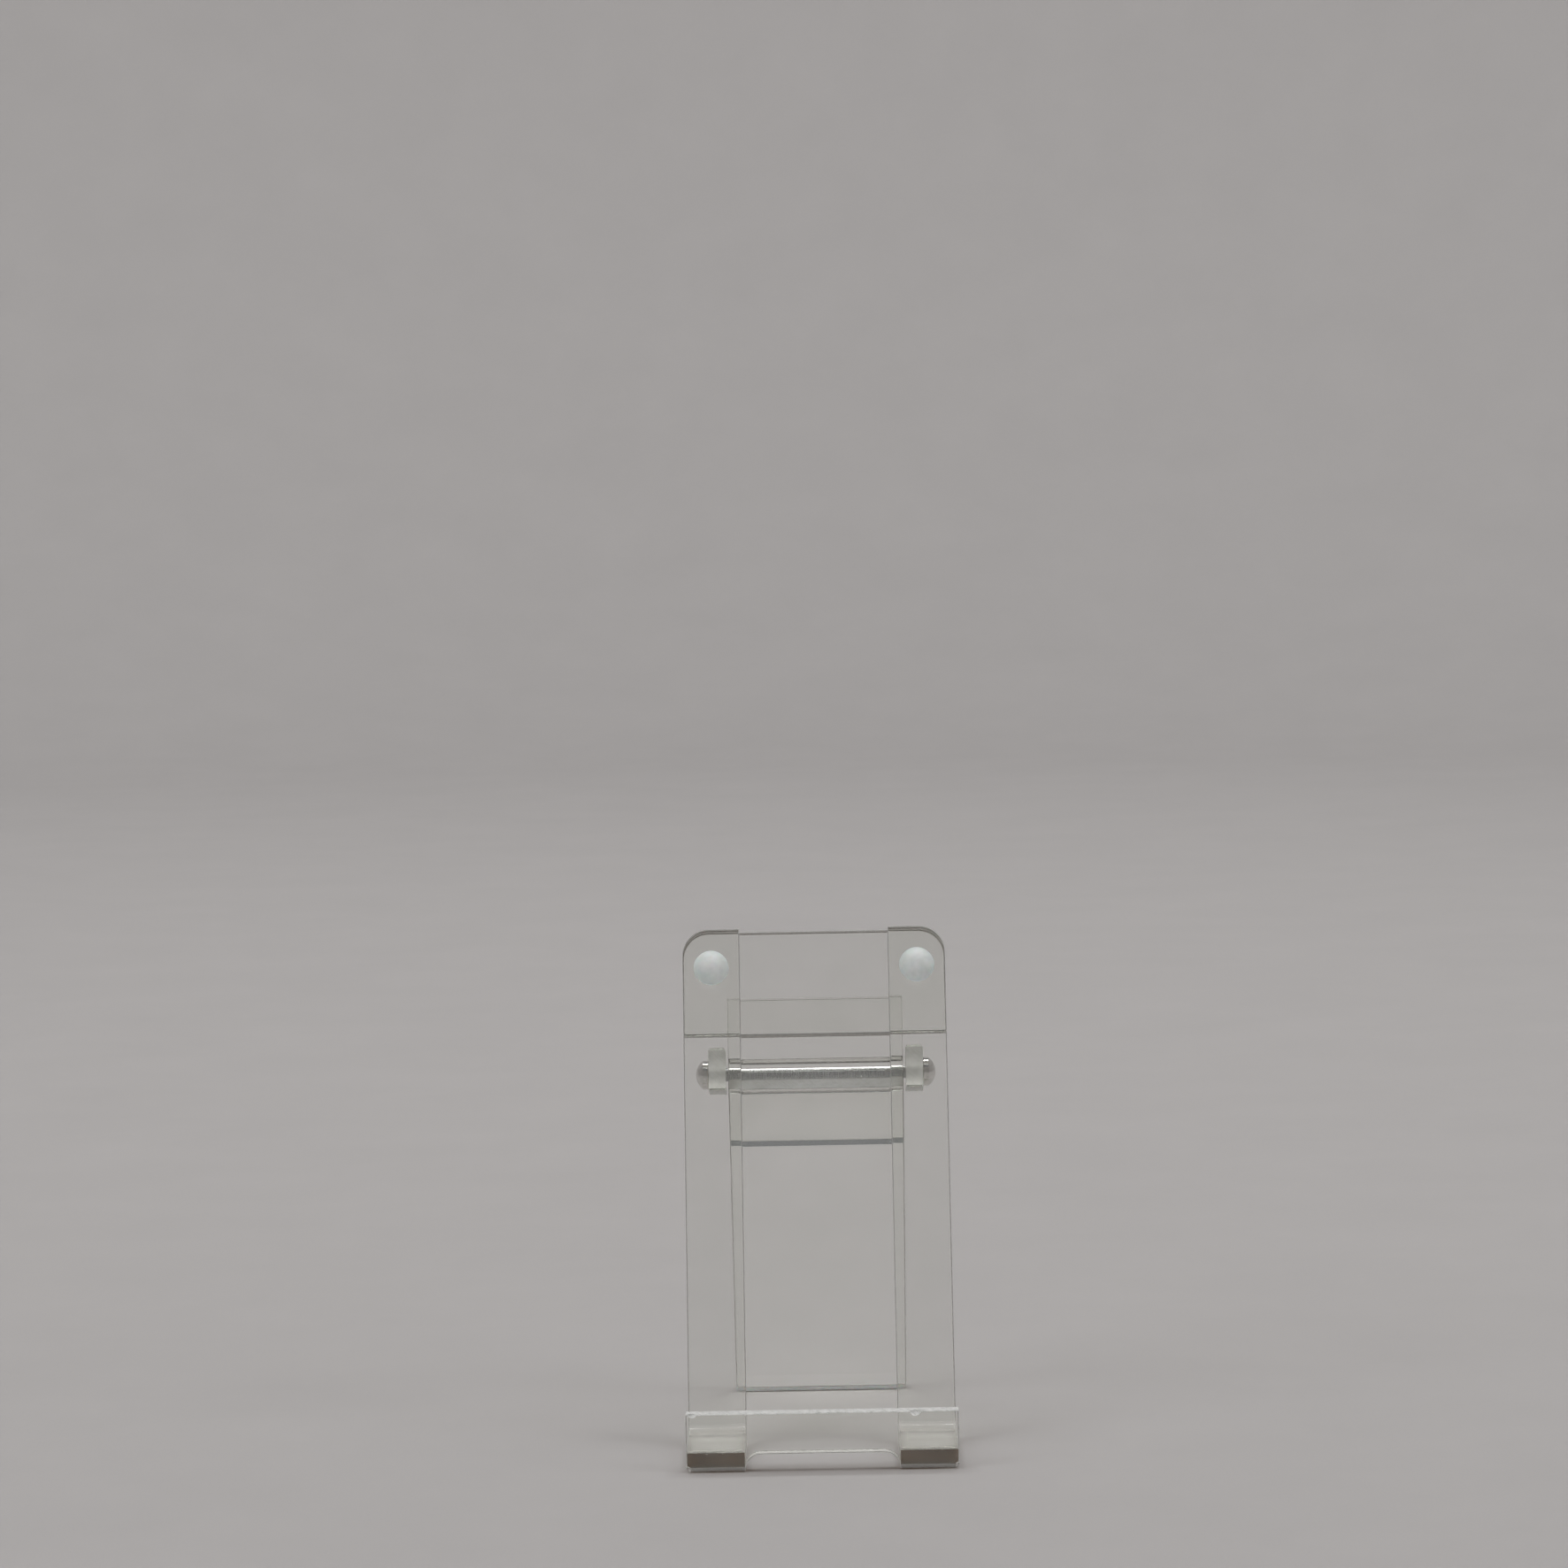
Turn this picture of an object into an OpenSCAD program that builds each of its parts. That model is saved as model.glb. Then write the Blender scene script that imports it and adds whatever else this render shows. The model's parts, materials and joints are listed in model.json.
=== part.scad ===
// Plate display stand in clear acrylic sheet: a fixed front frame and a rear strut that folds flat.
// The frame is a lip strip, two bent side rails and a top bridge, all cemented together.
// The origin is the middle of the footprint on the table, +Y points to the rear and +Z up.

/* [Sheet] */
// Thickness of the acrylic sheet
sheet_t = 4; // [3:0.5:5]

/* [Lip] */
// Width of the stand and of its lip
width = 60; // [56:1:80]
// Height of the lip above the table
lip_h = 13; // [10:0.5:18]
// Width of the gap between the two legs
gap_w = 34; // [30:1:34]
// Height of the relief under the lip, between the legs
relief_h = 4; // [3.5:0.5:6]
// Corner radius of the relief
relief_r = 3.5; // [1:0.5:3.5]
// Radius of the lip's two outer bottom corners
foot_r = 1.5; // [0.5:0.5:3]
// Radius along the lip's bottom front edge
edge_r = 1.2; // [0.4:0.2:2]

/* [Back] */
// Flat depth of the ledge behind the lip, where the rim stands
ledge_d = 22; // [18:1:30]
// Lean of the back from the vertical
lean = 18; // [12:1:22]
// Length of the back above the bend
back_l = 112; // [100:1:130]
// Inner radius of the bend between ledge and back
bend_r = 3; // [2:0.5:5]
// Height of the top bridge
bridge_h = 24; // [18:1:26]
// Radius of the two top corners
corner_r = 6; // [2:1:10]

/* [Strut] */
// Angle of the open strut from the vertical
strut_angle = 22; // [16:1:28]
// Width of the strut
strut_w = 40; // [38:1:42]
// Thickness of the soft strip under the strut
foot_t = 1; // [0.5:0.25:2]

/* [Hinge] */
// Diameter of the hinge pin
pin_d = 3; // [2:0.5:4]
// Radius of the knuckle around the pin
knuckle_r = 3.5; // [3.5:0.25:4.5]
// Distance of the pin below the bridge, along the back
hinge_drop = 8; // [7:0.5:12]
// Length of the leaf that is cemented to the strut
leaf_l = 16; // [10:1:24]
// Length of the heel that stops the open strut
heel_l = 17; // [15:1:20]
// Diameter of the caps on the pin's ends
cap_d = 6.6; // [6:0.2:8]

/* [Bumpers] */
// Diameter of the soft bumpers that the plate leans on
bumper_d = 8; // [5:0.5:10]
// Height of the bumpers
bumper_h = 2; // [1:0.25:3]

/* [Hidden] */
$fn = 96;

slack = 1;                 // how far a cutter runs past what it cuts
seam = 0.002;              // flat and round faces that would only touch cross by this much, and join cleanly
run_fit = 0.05;            // radial clearance of the knuckle on the pin
press = 0.01;              // radial grip of the lugs and caps on the pin
fold_gap = 0.5;            // space between the folded strut and the rails
stop_gap = 0.15;           // space between the heel and the bridge when open
side_gap = 0.5;            // space between the strut and each lug
lug_r = 4.5;
cap_h = 3;
cap_dome = 0.62;           // radius of a cap's dome, as a share of the cap's diameter
pin_tail = 2;              // how far the pin stands out of each lug
strut_top = 0.8;           // how far the strut reaches above the pin
bumper_drop = 9;           // distance of the bumpers below the top of the back

leg_w = (width - gap_w) / 2;
bend_out = bend_r + sheet_t;
bend_y = sheet_t + ledge_d;
back_y = bend_y + (bend_out - seam) * cos(lean);
back_z = bend_out - (bend_out - seam) * sin(lean);

hinge_s = back_l - bridge_h - hinge_drop;
hinge_n = fold_gap + sheet_t + knuckle_r;
hinge_y = back_y + hinge_s * sin(lean) + hinge_n * cos(lean);
hinge_z = back_z + hinge_s * cos(lean) - hinge_n * sin(lean);

strut_l = (hinge_z - knuckle_r * sin(strut_angle)) / cos(strut_angle);
depth = hinge_y - knuckle_r * cos(strut_angle) + strut_l * sin(strut_angle);
lug_x = strut_w / 2 + side_gap;
pin_half = lug_x + sheet_t + pin_tail;

clear_tint = [0.82, 0.90, 0.88, 0.45];
soft_tint = [0.90, 0.92, 0.92, 0.70];
steel_tint = [0.72, 0.73, 0.74];

// Moves the front of the footprint from y = 0 so that the origin is in its middle
module centred() {
    translate([0, -depth / 2, 0]) children();
}

// The back's own frame: Y is the rear normal, Z runs up the back, from the end of the bend
module on_back() {
    centred() translate([0, back_y, back_z]) rotate([-lean, 0, 0]) children();
}

// The strut's own frame at rest: the origin is on the pin and Z runs up the strut
module on_strut() {
    centred() translate([0, hinge_y, hinge_z]) rotate([strut_angle, 0, 0]) children();
}

// Extrudes a side outline, drawn as (y, z), along X
module side_extrude(from_x, length) {
    translate([from_x, 0, 0]) rotate([90, 0, 90]) linear_extrude(length) children();
}

// Front outline of the relief under the lip, run past the table line
module relief_outline() {
    round_x = gap_w / 2 - relief_r;
    round_z = relief_h - relief_r;
    translate([-gap_w / 2, -slack]) square([gap_w, round_z + slack]);
    translate([-round_x, -slack]) square([2 * round_x, relief_h + slack]);
    for (side = [-1, 1])
        translate([side * round_x, round_z]) circle(relief_r);
}

module lip_front_outline() {
    difference() {
        union() {
            translate([-width / 2, foot_r]) square([width, lip_h - foot_r]);
            translate([foot_r - width / 2, 0]) square([width - 2 * foot_r, lip_h]);
            for (side = [-1, 1])
                translate([side * (width / 2 - foot_r), foot_r]) circle(foot_r);
        }
        relief_outline();
    }
}

module lip_side_outline() {
    translate([0, edge_r]) square([sheet_t, lip_h - edge_r]);
    translate([edge_r, 0]) square([sheet_t - edge_r, lip_h]);
    translate([edge_r, edge_r]) circle(edge_r);
}

module lip() {
    color(clear_tint)
        centred()
            intersection() {
                translate([0, sheet_t, 0])
                    rotate([90, 0, 0])
                        linear_extrude(sheet_t) lip_front_outline();
                side_extrude(-width / 2, width) lip_side_outline();
            }
}

// All that lies on the inner side of a rail's sheet: above the ledge, in the bend and before the back
module rail_inside() {
    reach = 2 * bend_out;
    circle(bend_r);
    translate([-ledge_d - slack, -bend_r]) square([ledge_d + slack, reach]);
    rotate(-lean) translate([-reach, 0]) square([reach + bend_r - seam, back_l + slack]);
}

// Side outline of a rail: the ledge, the bend and the leaning back
module rail_side_outline() {
    translate([bend_y, bend_out])
        difference() {
            union() {
                translate([-ledge_d, -bend_out]) square([ledge_d, sheet_t]);
                circle(bend_out);
                rotate(-lean) square([bend_out - seam, back_l]);
            }
            rail_inside();
        }
}

// What rounding takes off the two top corners of the back
module top_corners() {
    thick = 2 * (sheet_t + slack);
    round_x = width / 2 - corner_r;
    round_s = back_l - corner_r + seam;
    for (side = [-1, 1])
        difference() {
            translate([side > 0 ? round_x : -width / 2 - slack, -thick / 2, round_s])
                cube([corner_r + slack, thick, corner_r + slack]);
            translate([side * round_x, -thick / 2 - slack, round_s])
                rotate([-90, 0, 0]) cylinder(r = corner_r, h = thick + 2 * slack);
        }
}

module rail(from_x) {
    color(clear_tint)
        difference() {
            centred() side_extrude(from_x, leg_w) rail_side_outline();
            on_back() top_corners();
        }
}

module bridge() {
    color(clear_tint)
        on_back()
            difference() {
                translate([-width / 2, 0, back_l - bridge_h]) cube([width, sheet_t, bridge_h]);
                top_corners();
            }
}

// A lug stands on a rail's rear face and grips the pin
module lug(from_x) {
    color(clear_tint)
        on_back()
            side_extrude(from_x, sheet_t)
                difference() {
                    union() {
                        translate([0, hinge_s - lug_r]) square([hinge_n, 2 * lug_r]);
                        translate([hinge_n, hinge_s]) circle(lug_r);
                    }
                    translate([hinge_n, hinge_s]) circle(pin_d / 2 - press);
                }
}

module hinge_pin() {
    color(steel_tint)
        on_back()
            translate([-pin_half, hinge_n, hinge_s])
                rotate([0, 90, 0]) cylinder(d = pin_d, h = 2 * pin_half);
}

// A domed cap, pressed on the end of the pin
module pin_cap() {
    dome_r = cap_d * cap_dome;
    rotate_extrude()
        difference() {
            intersection() {
                translate([0, cap_h - dome_r]) circle(dome_r);
                square([cap_d / 2, cap_h]);
            }
            translate([0, -slack]) square([pin_d / 2 - press, pin_tail + slack]);
        }
}

module pin_caps() {
    color(steel_tint)
        on_back()
            for (side = [-1, 1])
                translate([side * (lug_x + sheet_t), hinge_n, hinge_s])
                    rotate([0, side * 90, 0]) pin_cap();
}

// A domed soft bumper on a rail's front face
module bumper(at_x) {
    dome_r = (pow(bumper_d / 2, 2) + pow(bumper_h, 2)) / (2 * bumper_h);
    color(soft_tint)
        on_back()
            translate([at_x, -sheet_t, back_l - bumper_drop])
                rotate([90, 0, 0])
                    rotate_extrude()
                        intersection() {
                            translate([0, bumper_h - dome_r]) circle(dome_r);
                            square([bumper_d / 2, bumper_h]);
                        }
}

// The strut's sheet, longer than needed, before its foot is cut level with the table
module strut_blank() {
    reach = strut_l + 2 * sheet_t;
    on_strut()
        translate([-strut_w / 2, -knuckle_r - sheet_t, -reach])
            cube([strut_w, sheet_t, reach + strut_top]);
}

// A level slab across the whole stand, between two heights
module level_slab(low, high) {
    translate([-width, -depth, low]) cube([2 * width, 2 * depth, high - low]);
}

module strut() {
    color(clear_tint)
        intersection() {
            strut_blank();
            level_slab(foot_t, 2 * hinge_z);
        }
}

module strut_foot() {
    color(soft_tint)
        intersection() {
            strut_blank();
            level_slab(0, foot_t);
        }
}

// Knuckle, cemented leaf and the heel that meets the bridge when the strut is open
module hinge_leaf() {
    color(clear_tint)
        on_strut()
            side_extrude(-strut_w / 2, strut_w)
                difference() {
                    union() {
                        circle(knuckle_r);
                        translate([-knuckle_r, -knuckle_r]) square([knuckle_r, knuckle_r + strut_top]);
                        translate([-knuckle_r, -leaf_l]) square([sheet_t, leaf_l]);
                        rotate(-lean - strut_angle)
                            translate([sheet_t - hinge_n + stop_gap, 0]) square([sheet_t, heel_l]);
                    }
                    circle(pin_d / 2 + run_fit);
                }
}

lip();
rail(-width / 2);  // rail_left
rail(gap_w / 2);  // rail_right
bridge();
lug(-lug_x - sheet_t);  // lug_left
lug(lug_x);  // lug_right
hinge_pin();
pin_caps();
bumper((leg_w - width) / 2);  // bumper_left
bumper((width - leg_w) / 2);  // bumper_right
strut();
hinge_leaf();
strut_foot();
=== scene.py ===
"""Clear acrylic plate stand: high-quality pieces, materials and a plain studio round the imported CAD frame."""

import json
import math
import random

import bmesh
import bpy
from mathutils import Matrix, Vector


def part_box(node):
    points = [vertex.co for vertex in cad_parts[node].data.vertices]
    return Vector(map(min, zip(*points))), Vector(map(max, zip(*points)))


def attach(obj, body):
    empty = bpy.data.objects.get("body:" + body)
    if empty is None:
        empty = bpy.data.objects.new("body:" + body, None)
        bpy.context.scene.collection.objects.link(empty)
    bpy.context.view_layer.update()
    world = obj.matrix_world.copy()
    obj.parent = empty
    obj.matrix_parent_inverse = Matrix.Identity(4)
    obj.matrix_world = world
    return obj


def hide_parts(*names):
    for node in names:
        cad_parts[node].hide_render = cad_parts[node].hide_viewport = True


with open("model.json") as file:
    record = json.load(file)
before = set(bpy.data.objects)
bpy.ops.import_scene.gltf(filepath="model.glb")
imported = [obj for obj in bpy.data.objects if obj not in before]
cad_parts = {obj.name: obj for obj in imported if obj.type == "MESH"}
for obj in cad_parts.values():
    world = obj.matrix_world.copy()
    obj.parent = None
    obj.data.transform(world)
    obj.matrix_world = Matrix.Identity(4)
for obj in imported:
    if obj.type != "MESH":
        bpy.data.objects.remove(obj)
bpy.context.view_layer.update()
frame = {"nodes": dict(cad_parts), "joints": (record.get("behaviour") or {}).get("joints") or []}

scene = bpy.context.scene
MM = 0.001

# Shape constants of the CAD part, in millimetres
SHEET = 4.0
WIDTH = 60.0
LEG_W = 13.0
LIP_H = 13.0
LEDGE_D = 22.0
LEAN = math.radians(18.0)
BACK_L = 112.0
BEND_IN = 3.0
BEND_OUT = BEND_IN + SHEET
CORNER_R = 6.0
BRIDGE_S = 88.0
LUG_IN = 20.5
LUG_R = 4.5
HINGE_S = 80.0
HINGE_N = 8.0
STRUT_ANGLE = math.radians(22.0)
PIN_R = 1.5
PIN_HALF = 26.5
LUG_OUT = 24.5
CAP_R = 3.3
CAP_H = 3.0
CAP_DOME = 0.62
BUMPER_R = 4.0
BUMPER_H = 2.0
BUMPER_X = 23.5
BUMPER_S = 103.0

FRONT_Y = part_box("lip")[0].y
PIVOT = Vector(frame["joints"][0]["pos_m"])
BEND_Y = SHEET + LEDGE_D
BACK_Y = BEND_Y + BEND_OUT * math.cos(LEAN)
BACK_Z = BEND_OUT * (1 - math.sin(LEAN))

# Local frames: TABLE has y = 0 at the lip's front, BACK runs up the back's rear face, STRUT starts on the pin
TABLE = Matrix.Translation((0, FRONT_Y, 0))
BACK = TABLE @ Matrix.Translation((0, BACK_Y * MM, BACK_Z * MM)) @ Matrix.Rotation(-LEAN, 4, "X")
STRUT = Matrix.Translation(PIVOT) @ Matrix.Rotation(STRUT_ANGLE, 4, "X")
BACK_NORMAL = (BACK.to_3x3() @ Vector((0, 1, 0))).normalized()
STRUT_NORMAL = (STRUT.to_3x3() @ Vector((0, 1, 0))).normalized()


# ---------------------------------------------------------------- node helpers


class Nodes:
    """A material's node tree, with short calls for adding nodes and links."""

    def __init__(self, name):
        self.material = bpy.data.materials.new(name)
        self.material.use_nodes = True
        self.tree = self.material.node_tree
        self.tree.nodes.clear()

    def add(self, kind, **settings):
        node = self.tree.nodes.new(kind)
        for key, value in settings.items():
            setattr(node, key, value)
        return node

    def link(self, source, target):
        self.tree.links.new(source, target)

    def math(self, operation, a, b=None):
        node = self.add("ShaderNodeMath", operation=operation)
        for socket, value in zip(node.inputs, (a, b)):
            if isinstance(value, (int, float)):
                socket.default_value = value
            elif value is not None:
                self.link(value, socket)
        return node.outputs[0]

    def place(self, scale=(1, 1, 1)):
        """Object coordinates in millimetres, stretched by scale."""
        coords = self.add("ShaderNodeTexCoord")
        mapping = self.add("ShaderNodeMapping")
        mapping.inputs["Scale"].default_value = [1000 * s for s in scale]
        self.link(coords.outputs["Object"], mapping.inputs["Vector"])
        return mapping.outputs["Vector"]

    def noise(self, scale, detail=2.0, rough=0.5, vector=None, stretch=(1, 1, 1)):
        node = self.add("ShaderNodeTexNoise")
        node.inputs["Scale"].default_value = scale
        node.inputs["Detail"].default_value = detail
        node.inputs["Roughness"].default_value = rough
        self.link(vector or self.place(stretch), node.inputs["Vector"])
        return node.outputs["Fac"]

    def spread(self, value, low, high, to_low=0.0, to_high=1.0):
        node = self.add("ShaderNodeMapRange")
        self.link(value, node.inputs["Value"])
        for name, number in zip(("From Min", "From Max", "To Min", "To Max"), (low, high, to_low, to_high)):
            node.inputs[name].default_value = number
        return node.outputs["Result"]

    def ramp(self, value, stops):
        node = self.add("ShaderNodeValToRGB")
        while len(node.color_ramp.elements) < len(stops):
            node.color_ramp.elements.new(0.5)
        for element, (at, colour) in zip(node.color_ramp.elements, stops):
            element.position = at
            element.color = (*colour, 1)
        self.link(value, node.inputs["Fac"])
        return node.outputs["Color"]

    def bump(self, height, strength, distance_mm, normal=None):
        node = self.add("ShaderNodeBump")
        node.inputs["Strength"].default_value = strength
        node.inputs["Distance"].default_value = distance_mm * MM
        self.link(height, node.inputs["Height"])
        if normal is not None:
            self.link(normal, node.inputs["Normal"])
        return node.outputs["Normal"]

    def principled(self, colour=None, normal=None, **values):
        node = self.add("ShaderNodeBsdfPrincipled")
        for name, value in values.items():
            node.inputs[name.replace("_", " ")].default_value = value
        if colour is not None:
            self.link(colour, node.inputs["Base Color"])
        if normal is not None:
            self.link(normal, node.inputs["Normal"])
        return node

    def finish(self, shader, volume=None):
        out = self.add("ShaderNodeOutputMaterial")
        self.link(shader, out.inputs["Surface"])
        if volume is not None:
            self.link(volume, out.inputs["Volume"])
        return self.material

    def lets_light_through(self, shader, tint):
        """The shader as it is, but lamps shine through it with a faint tint."""
        path = self.add("ShaderNodeLightPath")
        clear = self.add("ShaderNodeBsdfTransparent")
        clear.inputs["Color"].default_value = (*tint, 1)
        mix = self.add("ShaderNodeMixShader")
        self.link(path.outputs["Is Shadow Ray"], mix.inputs["Fac"])
        self.link(shader, mix.inputs[1])
        self.link(clear.outputs[0], mix.inputs[2])
        return mix.outputs[0]

    def absorption(self, colour, density):
        node = self.add("ShaderNodeVolumeAbsorption")
        node.inputs["Color"].default_value = (*colour, 1)
        node.inputs["Density"].default_value = density
        return node.outputs[0]


# ------------------------------------------------------------------- materials

ACRYLIC_IOR = 1.49
ACRYLIC_TINT = (0.87, 0.82, 0.69)
ACRYLIC_DENSITY = 10.0


def hairlines(n):
    """Height of fine handling scratches in two directions, with a soft orange peel under them."""
    along = n.spread(n.noise(0.9, 1.0, vector=n.place((0.10, 6.0, 1.0))), 0.485, 0.515)
    across = n.spread(n.noise(0.9, 1.0, vector=n.place((3.0, 0.4, 0.10))), 0.49, 0.51)
    peel = n.noise(0.35, 1.0)
    lines = n.math("ADD", n.math("PINGPONG", along, 0.5), n.math("PINGPONG", across, 0.5))
    return n.math("ADD", lines, n.math("MULTIPLY", peel, 0.6))


def clear_acrylic():
    n = Nodes("acrylic_polished")
    colour = n.ramp(n.noise(0.12, 3.0), [(0.35, (0.975, 0.985, 0.970)), (0.70, (0.995, 1.0, 0.990))])
    glass = n.principled(
        colour,
        n.bump(hairlines(n), 0.05, 0.02),
        Roughness=0.012,
        IOR=ACRYLIC_IOR,
        Transmission_Weight=1.0,
    )
    surface = n.lets_light_through(glass.outputs[0], (0.93, 0.94, 0.92))
    return n.finish(surface, n.absorption(ACRYLIC_TINT, ACRYLIC_DENSITY))


def cemented_face():
    """A sawn end that the solvent cement has wetted: clear again, but for a soft haze. The haze is real, but
    its warm brown tone is a painted reflection of gold with painted shade.
    """
    n = Nodes("acrylic_cemented")
    haze_and_painted_reflection = n.noise(1.3, 3.0, 0.6)
    # painted reflection and shade: the warm brown of this ramp stands in for gold reflected in the seam and the
    # shade under it
    colour = n.ramp(haze_and_painted_reflection, [(0.35, (0.93, 0.84, 0.74)), (0.70, (0.985, 0.91, 0.81))])
    glass = n.principled(
        colour,
        n.bump(haze_and_painted_reflection, 0.25, 0.05),
        Roughness=0.26,
        IOR=ACRYLIC_IOR,
        Transmission_Weight=0.85,
    )
    surface = n.lets_light_through(glass.outputs[0], (0.93, 0.94, 0.92))
    return n.finish(surface, n.absorption(ACRYLIC_TINT, ACRYLIC_DENSITY))


def saw_marks(n, pitch_mm):
    """Height of tool marks that run across an edge, whichever way the edge runs."""
    split = n.add("ShaderNodeSeparateXYZ")
    n.link(n.place(), split.inputs[0])
    run = n.math("ADD", split.outputs["X"], split.outputs["Z"])
    wobble = n.math("MULTIPLY", n.noise(0.8, 2.0), 1.2)
    skew = n.math("MULTIPLY", split.outputs["Y"], 0.35)
    marks = n.add("ShaderNodeTexNoise", noise_dimensions="1D")
    marks.inputs["Scale"].default_value = 1 / pitch_mm
    marks.inputs["Detail"].default_value = 2.0
    n.link(n.math("ADD", n.math("ADD", run, wobble), skew), marks.inputs["W"])
    return marks.outputs["Fac"]


def acrylic_edge(name, pitch_mm, roughness, clarity, depth_mm, dull):
    """A cut edge: tool marks across it, frosted, with chalkier and duller patches."""
    n = Nodes(name)
    marks = saw_marks(n, pitch_mm)
    grit = n.noise(7.0, 3.0, 0.6)
    height = n.math("ADD", marks, n.math("MULTIPLY", grit, 0.45))
    patches = n.math("ADD", n.math("MULTIPLY", n.noise(0.7, 3.0), 0.6), n.math("MULTIPLY", marks, 0.4))
    colour = n.ramp(patches, [(0.36, dull), (0.60, (0.985, 0.99, 0.98))])
    frosted = n.principled(
        colour,
        n.bump(height, 0.7, depth_mm),
        Roughness=roughness,
        IOR=ACRYLIC_IOR,
        Transmission_Weight=clarity,
    )
    surface = n.lets_light_through(frosted.outputs[0], (0.72, 0.74, 0.71))
    return n.finish(surface, n.absorption(ACRYLIC_TINT, ACRYLIC_DENSITY))


def cement_clear():
    n = Nodes("cement_clear")
    drops = n.noise(1.6, 3.0, 0.55)
    colour = n.ramp(drops, [(0.3, (0.93, 0.94, 0.91)), (0.7, (0.99, 0.99, 0.98))])
    bead = n.principled(
        colour, n.bump(drops, 0.5, 0.08), Roughness=0.06, IOR=1.48, Transmission_Weight=1.0
    )
    return n.finish(n.lets_light_through(bead.outputs[0], (0.93, 0.94, 0.92)))


def bubble_silver():
    n = Nodes("cement_bubble")
    colour = n.ramp(n.noise(6.0, 1.0), [(0.3, (0.80, 0.80, 0.78)), (0.7, (0.97, 0.97, 0.95))])
    return n.finish(n.principled(colour, Metallic=1.0, Roughness=0.10).outputs[0])


def silicone():
    n = Nodes("silicone_milky")
    cloud = n.noise(0.5, 4.0, 0.6)
    grain = n.noise(9.0, 2.0, 0.5)
    colour = n.ramp(cloud, [(0.35, (0.80, 0.83, 0.83)), (0.68, (0.93, 0.95, 0.95))])
    body = n.principled(
        colour,
        n.bump(grain, 0.25, 0.05),
        Roughness=0.38,
        IOR=1.41,
        Transmission_Weight=0.45,
        Subsurface_Weight=0.35,
        Subsurface_Scale=0.0015,
    )
    return n.finish(n.lets_light_through(body.outputs[0], (0.70, 0.72, 0.72)))


def ground_steel():
    n = Nodes("steel_ground")
    rings = n.noise(1.0, 3.0, 0.6, stretch=(14.0, 0.5, 0.5))
    colour = n.ramp(rings, [(0.3, (0.50, 0.51, 0.52)), (0.7, (0.68, 0.69, 0.70))])
    bar = n.principled(
        colour,
        n.bump(rings, 0.16, 0.02),
        Metallic=1.0,
        Roughness=0.24,
        Anisotropic=0.5,
    )
    n.link(n.spread(rings, 0.3, 0.7, 0.17, 0.33), bar.inputs["Roughness"])
    return n.finish(bar.outputs[0])


def bright_nickel():
    n = Nodes("cap_bright")
    smudge = n.noise(0.9, 4.0, 0.6)
    fine = n.noise(1.0, 2.0, 0.5, stretch=(12.0, 3.0, 3.0))
    colour = n.ramp(smudge, [(0.35, (0.66, 0.65, 0.63)), (0.65, (0.80, 0.79, 0.77))])
    cap = n.principled(colour, n.bump(fine, 0.10, 0.01), Metallic=1.0, Roughness=0.12)
    n.link(n.spread(smudge, 0.3, 0.7, 0.07, 0.20), cap.inputs["Roughness"])
    return n.finish(cap.outputs[0])


def paper_floor():
    n = Nodes("studio_paper")
    mottle = n.noise(0.02, 4.0, 0.6)
    fibre = n.noise(1.4, 3.0, 0.7)
    mix = n.math("ADD", n.math("MULTIPLY", mottle, 0.55), n.math("MULTIPLY", fibre, 0.45))
    colour = n.ramp(mix, [(0.30, (0.396, 0.382, 0.377)), (0.70, (0.421, 0.406, 0.400))])
    paper = n.principled(colour, n.bump(fibre, 0.15, 0.05), Roughness=0.82)
    return n.finish(paper.outputs[0])


# ---------------------------------------------------------------- mesh helpers


def new_object(name, bm, materials):
    bmesh.ops.recalc_face_normals(bm, faces=bm.faces[:])
    mesh = bpy.data.meshes.new(name)
    bm.to_mesh(mesh)
    bm.free()
    for material in materials:
        mesh.materials.append(material)
    if len(materials) == 1:
        mesh.polygons.foreach_set("material_index", [0] * len(mesh.polygons))
    obj = bpy.data.objects.new(name, mesh)
    scene.collection.objects.link(obj)
    mesh.polygons.foreach_set("use_smooth", [True] * len(mesh.polygons))
    return obj


def break_edges(obj, width_mm, segments=3, angle=40, slot=1):
    """The small broken arris that every cut edge has."""
    bevel = obj.modifiers.new("arris", "BEVEL")
    bevel.width = width_mm * MM
    bevel.segments = segments
    bevel.limit_method = "ANGLE"
    bevel.angle_limit = math.radians(angle)
    bevel.use_clamp_overlap = True
    bevel.material = min(slot, len(obj.data.materials) - 1)
    return obj


def bake_modifiers(obj):
    graph = bpy.context.evaluated_depsgraph_get()
    mesh = bpy.data.meshes.new_from_object(obj.evaluated_get(graph))
    obj.modifiers.clear()
    obj.data = mesh
    return obj


def true_normals(obj):
    """Flat faces stay optically flat, and only the small faces round an edge are shaded round."""
    bake_modifiers(obj)
    obj.data.set_sharp_from_angle(angle=math.radians(35))
    weigh = obj.modifiers.new("flat_faces", "WEIGHTED_NORMAL")
    weigh.mode = "FACE_AREA"
    weigh.weight = 100
    weigh.keep_sharp = True
    return bake_modifiers(obj)


def by_direction(bm, normal, polished_along=True):
    """Slot 0 is the polished sheet face, slot 1 the cut edge."""
    for face in bm.faces:
        flat = abs(face.normal.dot(normal)) > 0.999
        face.material_index = 0 if flat == polished_along else 1


def from_cad(node, name, materials, normal, polished_along=True):
    """A clean copy of a CAD node: merged, with flat faces joined up, ready for bevels."""
    bm = bmesh.new()
    bm.from_mesh(frame["nodes"][node].data)
    bmesh.ops.remove_doubles(bm, verts=bm.verts[:], dist=1e-7)
    bmesh.ops.dissolve_limit(
        bm, angle_limit=math.radians(0.5), verts=bm.verts[:], edges=bm.edges[:]
    )
    bm.normal_update()
    by_direction(bm, normal, polished_along)
    return new_object(name, bm, materials)


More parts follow.
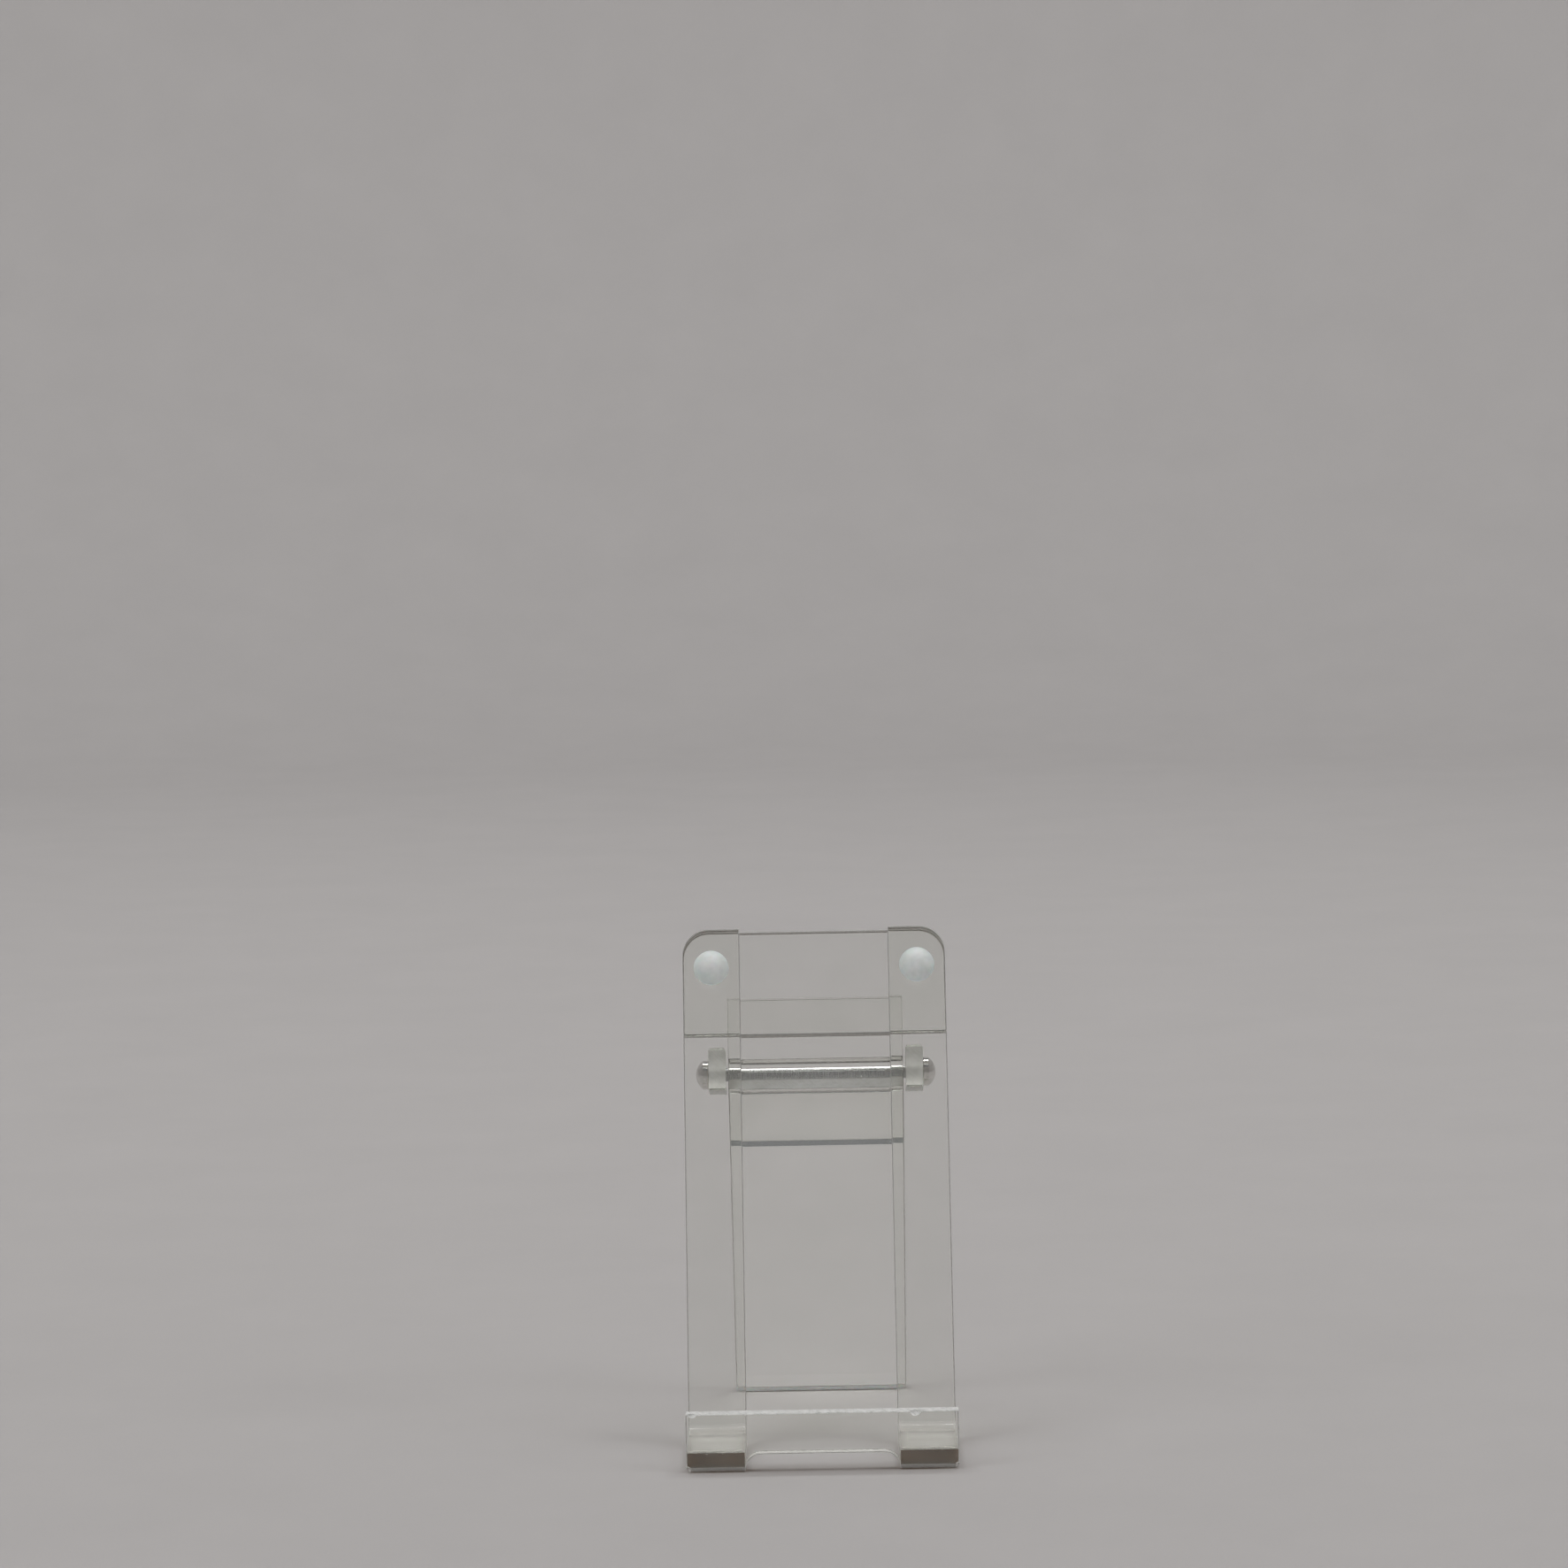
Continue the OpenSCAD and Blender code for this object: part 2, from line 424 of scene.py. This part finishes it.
def settle(obj, body, slot, *nodes):
    true_normals(obj)
    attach(obj, body)
    if nodes:
        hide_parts(*nodes)
    return obj


def sheet_strip(stations, x_lo, x_hi, place, cemented_start=False):
    """A bent strip of sheet: each station is (front point, rear point) in the (y, z) plane, in mm."""
    bm = bmesh.new()
    rings = []
    for (fy, fz), (ry, rz) in stations:
        corners = ((x_lo, fy, fz), (x_hi, fy, fz), (x_hi, ry, rz), (x_lo, ry, rz))
        rings.append([bm.verts.new(place @ (Vector(c) * MM)) for c in corners])
    for low, high in zip(rings, rings[1:]):
        for side in range(4):
            after = (side + 1) % 4
            face = bm.faces.new((low[side], low[after], high[after], high[side]))
            face.material_index = side % 2
    bm.faces.new(rings[0]).material_index = 2 if cemented_start else 1
    bm.faces.new(rings[-1]).material_index = 1
    return bm, rings


def round_corner(bm, a, b, radius_mm, segments=12):
    """Rounds one corner of a sheet: the edge between verts a and b runs through its thickness."""
    edge = bm.edges.get((a, b))
    bmesh.ops.bevel(
        bm,
        geom=[edge],
        offset=radius_mm * MM,
        offset_type="OFFSET",
        segments=segments,
        profile=0.5,
        affect="EDGES",
        clamp_overlap=True,
        material=1,
    )


def lathe(outline, place, materials, name, steps=64):
    """Turns an outline of (radius, height) in mm round the local Z axis."""
    bm = bmesh.new()
    rings = []
    for radius, height in outline:
        if radius < 1e-6:
            rings.append([bm.verts.new(place @ Vector((0, 0, height * MM)))])
            continue
        ring = []
        for step in range(steps):
            a = 2 * math.pi * step / steps
            point = Vector((radius * math.cos(a), radius * math.sin(a), height)) * MM
            ring.append(bm.verts.new(place @ point))
        rings.append(ring)
    for low, high in zip(rings, rings[1:]):
        for step in range(steps):
            after = (step + 1) % steps
            if len(low) == 1:
                bm.faces.new((low[0], high[after], high[step]))
            elif len(high) == 1:
                bm.faces.new((low[step], low[after], high[0]))
            else:
                bm.faces.new((low[step], low[after], high[after], high[step]))
    return new_object(name, bm, materials)


# ---------------------------------------------------------------------- pieces

CLEAR = clear_acrylic()
CEMENTED = cemented_face()
SAWN = acrylic_edge("acrylic_sawn", 0.35, 0.55, 0.30, 0.16, (0.62, 0.63, 0.61))
ROUTED = acrylic_edge("acrylic_routed", 0.45, 0.34, 0.62, 0.05, (0.82, 0.835, 0.81))
CEMENT = cement_clear()
BUBBLE = bubble_silver()
SILICONE = silicone()
STEEL = ground_steel()
NICKEL = bright_nickel()
ARRIS = 0.16
OVERLAP = 0.02  # how far a cemented sheet sinks into its neighbour, so that no air shows between them


def rail_stations():
    """Front and rear points of a rail, from the ledge's front end round the bend to the top."""
    stations = [((-OVERLAP + SHEET, SHEET), (-OVERLAP + SHEET, 0.0)), ((BEND_Y, SHEET), (BEND_Y, 0.0))]
    turn = math.pi / 2 - LEAN
    steps = 24
    for step in range(1, steps + 1):
        a = -math.pi / 2 + turn * step / steps
        inner = (BEND_Y + BEND_IN * math.cos(a), BEND_OUT + BEND_IN * math.sin(a))
        outer = (BEND_Y + BEND_OUT * math.cos(a), BEND_OUT + BEND_OUT * math.sin(a))
        stations.append((inner, outer))
    up = Vector((math.sin(LEAN), math.cos(LEAN))) * BACK_L
    inner, outer = stations[-1]
    stations.append(((inner[0] + up.x, inner[1] + up.y), (outer[0] + up.x, outer[1] + up.y)))
    return stations


def make_rail(name, x_lo, x_hi, outer_right):
    bm, rings = sheet_strip(rail_stations(), x_lo, x_hi, TABLE, cemented_start=True)
    top = rings[-1]
    pair = (top[1], top[2]) if outer_right else (top[0], top[3])
    round_corner(bm, *pair, CORNER_R)
    obj = new_object(name + "_sheet", bm, [CLEAR, ROUTED, CEMENTED])
    break_edges(obj, ARRIS)
    return settle(obj, "frame", "acrylic", name)


def chip_cutter(spots, seed):
    """Small shell-shaped bites, one icosphere each, squashed and roughened."""
    rng = random.Random(seed)
    bm = bmesh.new()
    for x, y, z, size_x, size_y, size_z in spots:
        made = bmesh.ops.create_icosphere(bm, subdivisions=2, radius=1.0)
        turn = Matrix.Rotation(rng.uniform(-0.35, 0.35), 3, "Y")
        for v in made["verts"]:
            shaped = Vector((v.co.x * size_x, v.co.y * size_y, v.co.z * size_z))
            shaped *= 1 + rng.uniform(-0.10, 0.10)
            v.co = TABLE @ ((turn @ shaped + Vector((x, y, z))) * MM)
    for face in bm.faces:
        face.material_index = 2
    return new_object("chip_cutter", bm, [CLEAR, ROUTED, SAWN])


def lip_chips():
    """The big chip and nicks on the lip's top edge, then a row of fine saw chips along both arrises."""
    rng = random.Random(11)
    spots = [
        (20.5, 0.1, LIP_H + 0.25, 1.30, 1.5, 1.40),
        (-28.6, 0.1, LIP_H + 0.20, 1.15, 1.1, 1.00),
        (-29.6, 0.3, 0.7, 0.7, 0.9, 0.8),
        (29.7, 0.3, 0.8, 0.6, 0.8, 0.7),
    ]
    for y in (0.0, SHEET):
        x = -WIDTH / 2 + 2.6
        while x < WIDTH / 2 - 1.2:
            size = rng.uniform(0.12, 0.26) * rng.choice((0.7, 1.0, 1.0, 1.5, 2.0))
            x += size * 1.2
            if not 18.2 < x + size < 22.8:
                spots.append((x, y, LIP_H + size * 0.3, size * 1.1, size, size * 0.9))
            x += size * 1.2 + rng.uniform(0.05, 0.6)
    return spots


def make_lip():
    obj = from_cad("lip", "lip_strip", [CLEAR, ROUTED, SAWN], Vector((0, 1, 0)))
    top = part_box("lip")[1].z
    for face in obj.data.polygons:
        if face.normal.z > 0.9 and face.center.z > top - MM:
            face.material_index = 2
    break_edges(obj, 0.20, slot=2)
    bake_modifiers(obj)
    cutter = chip_cutter(lip_chips(), 7)
    bite = obj.modifiers.new("chips", "BOOLEAN")
    bite.operation, bite.solver, bite.object = "DIFFERENCE", "EXACT", cutter
    bake_modifiers(obj)
    bpy.data.objects.remove(cutter)
    return settle(obj, "frame", "acrylic", "lip")


def make_bridge():
    obj = from_cad("bridge", "bridge_plate", [CLEAR, ROUTED], BACK_NORMAL)
    obj.data.transform(Matrix.Translation(-BACK_NORMAL * OVERLAP * MM))
    break_edges(obj, ARRIS)
    return settle(obj, "frame", "acrylic", "bridge")


def make_lugs():
    for side in ("left", "right"):
        obj = from_cad("lug_" + side, "lug_plate_" + side, [CLEAR, ROUTED], Vector((1, 0, 0)))
        obj.data.transform(Matrix.Translation(-BACK_NORMAL * OVERLAP * MM))
        break_edges(obj, 0.14)
        settle(obj, "frame", "acrylic", "lug_" + side)


def make_strut():
    obj = from_cad("strut", "strut_sheet", [CLEAR, ROUTED], STRUT_NORMAL)
    break_edges(obj, ARRIS)
    settle(obj, "strut", "acrylic", "strut")


def make_hinge_leaf():
    obj = from_cad("hinge_leaf", "hinge_leaf_profile", [CLEAR, ROUTED], Vector((1, 0, 0)), False)
    obj.data.transform(Matrix.Translation(-STRUT_NORMAL * OVERLAP * MM))
    break_edges(obj, 0.12)
    settle(obj, "strut", "acrylic", "hinge_leaf")


def make_pin():
    chamfer = 0.35
    place = (
        BACK
        @ Matrix.Translation(Vector((0, HINGE_N, HINGE_S)) * MM)
        @ Matrix.Rotation(math.pi / 2, 4, "Y")
    )
    outline = [
        (0, -PIN_HALF),
        (PIN_R - chamfer, -PIN_HALF),
        (PIN_R, -PIN_HALF + chamfer),
        (PIN_R, PIN_HALF - chamfer),
        (PIN_R - chamfer, PIN_HALF),
        (0, PIN_HALF),
    ]
    obj = lathe(outline, place, [STEEL], "pin_rod", 96)
    break_edges(obj, 0.06, angle=25)
    settle(obj, "frame", "pin_steel", "hinge_pin")


def cap_outline():
    """Half section of a push-on cap: blind socket for the pin, rim, rolled shoulder and dome."""
    socket_depth = PIN_HALF - LUG_OUT
    points = [(0.0, socket_depth), (PIN_R, socket_depth), (PIN_R, 0.0)]
    points += [(CAP_R - 0.25, 0.0), (CAP_R, 0.22), (CAP_R, 0.75)]
    dome_r = 2 * CAP_R * CAP_DOME
    start = math.acos(CAP_R / dome_r) if CAP_R < dome_r else 0.0
    for step in range(0, 15):
        a = start + (math.pi / 2 - start) * step / 14
        points.append((dome_r * math.cos(a), CAP_H - dome_r + dome_r * math.sin(a)))
    points[-1] = (0.0, CAP_H)
    return points


def make_caps():
    for side in (-1, 1):
        place = (
            BACK
            @ Matrix.Translation(Vector((side * LUG_OUT, HINGE_N, HINGE_S)) * MM)
            @ Matrix.Rotation(side * math.pi / 2, 4, "Y")
        )
        obj = lathe(cap_outline(), place, [NICKEL], "cap_" + ("left" if side < 0 else "right"), 72)
        settle(obj, "frame", "cap_steel", "pin_caps")


def make_bumpers():
    for side, label in ((-1, "left"), (1, "right")):
        place = (
            BACK
            @ Matrix.Translation(Vector((side * BUMPER_X, -SHEET, BUMPER_S)) * MM)
            @ Matrix.Rotation(math.pi / 2, 4, "X")
        )
        dome_r = (BUMPER_R**2 + BUMPER_H**2) / (2 * BUMPER_H)
        outline = [(0, -OVERLAP), (BUMPER_R - 0.15, -OVERLAP), (BUMPER_R, 0.10)]
        steps = 16
        reach = math.asin(min(1.0, (BUMPER_R - 0.12) / dome_r))
        for step in range(steps + 1):
            a = reach * (1 - step / steps)
            outline.append((dome_r * math.sin(a), BUMPER_H - dome_r + dome_r * math.cos(a)))
        outline[-1] = (0.0, BUMPER_H)
        obj = lathe(outline, place, [SILICONE], "bumper_dome_" + label)
        settle(obj, "frame", "silicone", "bumper_" + label)


def make_foot():
    obj = from_cad("strut_foot", "strut_foot_strip", [SILICONE], Vector((0, 0, 1)))
    obj.data.transform(Matrix.Translation((0, 0, OVERLAP * MM)))
    break_edges(obj, 0.25, segments=4)
    settle(obj, "strut", "silicone", "strut_foot")


def cement_bead(name, place, length_mm, leg_mm=0.55):
    """A hollow fillet of dried cement: it runs along X in the corner between +Y and +Z of its frame."""
    rng = random.Random(name)
    bm = bmesh.new()
    rings = []
    steps = 28
    for step in range(steps + 1):
        x = length_mm * (step / steps - 0.5)
        size = leg_mm * rng.uniform(0.75, 1.15) * (0.35 if step in (0, steps) else 1.0)
        ring = [(-OVERLAP, -OVERLAP), (size, -OVERLAP)]
        for k in range(1, 6):
            a = math.pi / 2 * k / 6
            ring.append((size * (1 - math.sin(a)) + 0.02, size * (1 - math.cos(a)) + 0.02))
        ring.append((-OVERLAP, size))
        rings.append([bm.verts.new(place @ (Vector((x, y, z)) * MM)) for y, z in ring])
    for low, high in zip(rings, rings[1:]):
        for k in range(len(low)):
            after = (k + 1) % len(low)
            bm.faces.new((low[k], low[after], high[after], high[k]))
    bm.faces.new(rings[0])
    bm.faces.new(rings[-1])
    settle(new_object(name, bm, [CEMENT]), "frame", "acrylic")


def make_cement():
    """Beads along the seams that show, and a few bubbles caught where the ledge meets the lip."""
    for side, label in ((-1, "left"), (1, "right")):
        ledge = TABLE @ Matrix.Translation(Vector((side * BUMPER_X, SHEET, SHEET)) * MM)
        cement_bead("cement_ledge_" + label, ledge, LEG_W - 1)
        under_bridge = (
            BACK
            @ Matrix.Translation(Vector((side * BUMPER_X, 0, BRIDGE_S)) * MM)
            @ Matrix.Rotation(-math.pi / 2, 4, "X")
        )
        cement_bead("cement_bridge_" + label, under_bridge, LEG_W - 1, 0.45)
        for edge in (-1, 1):
            lug_edge = (
                BACK
                @ Matrix.Translation(Vector((side * (LUG_IN + LUG_OUT) / 2, 0, HINGE_S + edge * LUG_R)) * MM)
                @ Matrix.Rotation(0 if edge > 0 else -math.pi / 2, 4, "X")
            )
            cement_bead("cement_lug_" + label + ("_low", "_high")[edge > 0], lug_edge, SHEET - 0.6, 0.45)
    cement_bubbles("cement_bubbles_left", [(-25.5, 0.19), (-22.0, 0.15), (-21.6, 0.07), (-19.1, 0.09)])
    cement_bubbles("cement_bubbles_right", [(19.8, 0.08), (26.3, 0.10)])


def cement_bubbles(name, spots):
    """Flat bubbles in the seam between lip and ledge: each spot is (x, radius) in mm."""
    bm = bmesh.new()
    for x, size in spots:
        at = Vector((x, SHEET, SHEET - 0.15 - size))
        made = bmesh.ops.create_icosphere(bm, subdivisions=3, radius=1.0)
        for v in made["verts"]:
            v.co = TABLE @ ((at + Vector((v.co.x * size * 1.4, v.co.y * size * 0.5, v.co.z * size))) * MM)
    settle(new_object(name, bm, [BUBBLE]), "frame", "acrylic")


# ---------------------------------------------------------------------- studio


def make_studio():
    """A pale paper floor that sweeps up all round, so every view has the same plain ground."""
    floor_r, cove_r, wall_h = 1.7, 0.7, 2.4
    below = -0.04 * MM
    outline = [(0.0, below), (0.25, below), (floor_r, below)]
    for step in range(1, 25):
        a = math.pi / 2 * step / 24
        outline.append((floor_r + cove_r * math.sin(a), below + cove_r * (1 - math.cos(a))))
    outline.append((floor_r + cove_r, wall_h))
    bm = bmesh.new()
    rings = []
    steps = 96
    for radius, height in outline:
        if radius == 0:
            rings.append([bm.verts.new((0, 0, height))])
            continue
        rings.append([
            bm.verts.new((
                radius * math.cos(2 * math.pi * k / steps),
                radius * math.sin(2 * math.pi * k / steps),
                height,
            ))
            for k in range(steps)
        ])
    for low, high in zip(rings, rings[1:]):
        for k in range(steps):
            after = (k + 1) % steps
            if len(low) == 1:
                bm.faces.new((low[0], high[k], high[after]))
            else:
                bm.faces.new((low[k], high[k], high[after], low[after]))
    obj = new_object("studio_sweep", bm, [paper_floor()])
    for face in obj.data.polygons:
        if face.normal.z < -0.5:
            obj.data.flip_normals()
            break


def soft_light(name, size, place, target, watts, colour=(1, 1, 1)):
    light = bpy.data.lights.new(name, "AREA")
    light.shape = "RECTANGLE"
    light.size, light.size_y = size
    light.energy = watts
    light.color = colour
    obj = bpy.data.objects.new(name, light)
    obj.location = place
    obj.rotation_euler = (Vector(target) - Vector(place)).to_track_quat("-Z", "Y").to_euler()
    scene.collection.objects.link(obj)


def make_lights():
    soft_light("softbox_top", (1.3, 1.0), (0.05, 0.15, 1.7), (0, 0, 0), 7.0, (1.0, 0.985, 0.97))
    soft_light("softbox_left", (0.8, 1.1), (-1.25, -0.75, 0.95), (0, 0, 0.05), 6)
    soft_light("softbox_right", (0.7, 1.0), (1.3, -0.55, 0.85), (0, 0, 0.05), 4.5)
    for quarter, watts in enumerate((12, 28, 12, 12)):
        turn = Matrix.Rotation(quarter * math.pi / 2, 3, "Z")
        place, target = turn @ Vector((0.7, 0, 2.1)), turn @ Vector((2.4, 0, 0.9))
        soft_light(f"backdrop_wash_{quarter}", (2.0, 0.6), place, target, watts)
    world = bpy.data.worlds.new("studio_air")
    scene.world = world
    world.use_nodes = True
    world.node_tree.nodes["Background"].inputs["Color"].default_value = (0.55, 0.56, 0.58, 1)
    world.node_tree.nodes["Background"].inputs["Strength"].default_value = 0.30


def axes_for(forward, up):
    right = forward.cross(up).normalized()
    true_up = right.cross(forward).normalized()
    return Matrix((right, true_up, -forward)).transposed()


def make_camera():
    """A long lens in front of the stand and a little above it, with the lip low in the frame."""
    focal, sensor = 129.2, 36.0
    reach = 1.243
    rise = math.radians(12.0)
    roll = math.radians(1.05)
    aside, below = 0.02455, 0.4196  # the lip's middle from the frame's middle, in frame widths
    data = bpy.data.cameras.new("camera")
    data.lens, data.sensor_width = focal, sensor
    data.clip_start, data.clip_end = 0.01, 20
    data.dof.use_dof = False
    obj = bpy.data.objects.new("camera", data)
    scene.collection.objects.link(obj)
    target = Vector((0, FRONT_Y, LIP_H / 2 * MM))
    place = target + reach * Vector((0, -math.cos(rise), math.sin(rise)))
    seen = (target - place).normalized()
    in_frame = Vector((aside * sensor, -below * sensor, -focal)).normalized()
    up = Matrix.Rotation(roll, 3, seen) @ Vector((0, 0, 1))
    turn = axes_for(seen, up) @ axes_for(in_frame, Vector((0, 1, 0))).transposed()
    obj.matrix_world = Matrix.Translation(place) @ turn.to_4x4()
    scene.camera = obj


make_lip()
make_rail("rail_left", -WIDTH / 2, -WIDTH / 2 + LEG_W, False)
make_rail("rail_right", WIDTH / 2 - LEG_W, WIDTH / 2, True)
make_bridge()
make_lugs()
make_strut()
make_hinge_leaf()
make_pin()
make_caps()
make_bumpers()
make_foot()
make_cement()
make_studio()
make_lights()
make_camera()
scene.view_settings.view_transform = "Standard"
